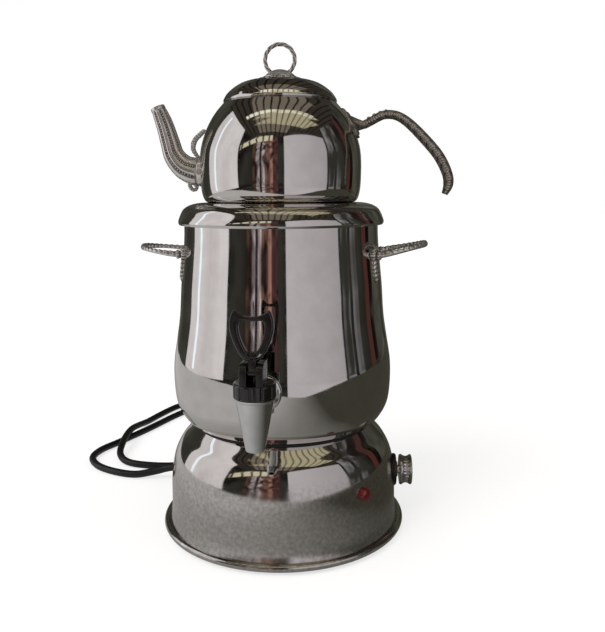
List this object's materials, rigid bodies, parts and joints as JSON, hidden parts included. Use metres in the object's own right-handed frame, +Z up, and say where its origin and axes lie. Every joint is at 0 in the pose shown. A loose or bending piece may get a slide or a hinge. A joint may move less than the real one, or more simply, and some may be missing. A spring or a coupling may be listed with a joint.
{
  "type": "samovar",
  "caption": "Electric samovar: a round mirror polished water urn with a sprung front tap and side handles on a heated base, with a steam ring lid and a spouted teapot on top.",
  "frame": {"origin": "centre of the foot ring's underside, on the table", "axes": "+Z is up along the urn's axis, the tap faces -Y and the thermostat knob faces +X"},
  "size_m": [0.3885, 0.511, 0.4241],
  "materials": {
    "mirror_steel": "mirror polished stainless sheet",
    "satin_steel": "satin",
    "antiqued_cast": "plated casting, darkened in its low parts",
    "satin_nickel": "satin plated",
    "black_plastic": "semi gloss",
    "black_rubber": "matt",
    "cord_black": "soft satin",
    "brass": "machined",
    "red_lens": "clear moulded",
    "ivory_plastic": "moulded"
  },
  "bodies": {
    "stand": {"base_shell": "mirror_steel", "base_plate": "satin_steel", "foot_ring": "black_rubber", "tie_studs": "satin_steel", "tie_nuts": "satin_steel", "seat_gasket": "black_rubber", "urn": "mirror_steel", "heating_element": "satin_steel", "element_gaskets": "black_rubber", "element_nuts": "brass", "left_handle": "antiqued_cast", "right_handle": "antiqued_cast", "handle_screws": "satin_steel", "tap_body": "satin_nickel", "tap_shank": "satin_nickel", "tap_plate": "satin_nickel", "tap_gasket": "black_rubber", "tap_nut": "brass", "tap_bonnet": "black_plastic", "tap_spring": "satin_steel", "lever_pin": "satin_steel", "thermostat_body": "black_plastic", "thermostat_nut": "satin_steel", "dial_plate": "black_plastic", "pilot_lens": "red_lens", "lamp_body": "black_plastic", "sensor_tube": "satin_steel", "sensor_clip": "satin_steel", "terminal_block": "ivory_plastic", "inner_wiring": "cord_black", "strain_relief": "black_rubber", "power_cord": "cord_black", "plug": "cord_black", "plug_pins": "satin_steel", "plug_earth": "brass"},
    "knob": {"thermostat_shaft": "satin_steel", "control_knob": "mirror_steel"},
    "lever": {"tap_lever": "black_plastic"},
    "stem": {"tap_stem": "satin_steel", "seat_cup": "black_rubber"},
    "ring_cover": {"ring_lid": "mirror_steel"},
    "teapot": {"teapot_body": "mirror_steel", "teapot_spout": "antiqued_cast", "teapot_handle": "antiqued_cast", "handle_nuts": "satin_steel"},
    "lid": {"teapot_lid": "mirror_steel", "skirt_ring": "mirror_steel", "lid_flange": "antiqued_cast", "lid_knob": "antiqued_cast", "lid_screw": "satin_steel"}
  },
  "joints": [
    {"name": "lever_hinge", "type": "hinge", "parent": "stand", "child": "lever", "pos_m": [0, -0.142, 0.1747], "axis": [1, 0, 0], "range_deg": [0, 40], "stiffness_Nm_per_rad": 0.12, "springref_deg": -20.05},
    {"name": "stem_slide", "type": "slide", "parent": "stand", "child": "stem", "axis": [0, 0, 1], "range_m": [0, 0.0047], "deforming": ["tap_spring"]},
    {"name": "knob_hinge", "type": "hinge", "parent": "stand", "child": "knob", "pos_m": [0.10958, 0.00959, 0.047], "axis": [0.9962, 0.0872, 0], "range_deg": [0, 270]},
    {"name": "ring_lift", "type": "slide", "parent": "stand", "child": "ring_cover", "axis": [0, 0, 1], "range_m": [0, 0.06]},
    {"name": "teapot_lift", "type": "slide", "parent": "ring_cover", "child": "teapot", "axis": [0, 0, 1], "range_m": [0, 0.12]},
    {"name": "lid_lift", "type": "slide", "parent": "teapot", "child": "lid", "axis": [0, 0, 1], "range_m": [0, 0.08]}
  ],
  "couplings": [
    {"joint": "stem_slide", "follows": "lever_hinge", "m_per_rad": 0.006445}
  ]
}
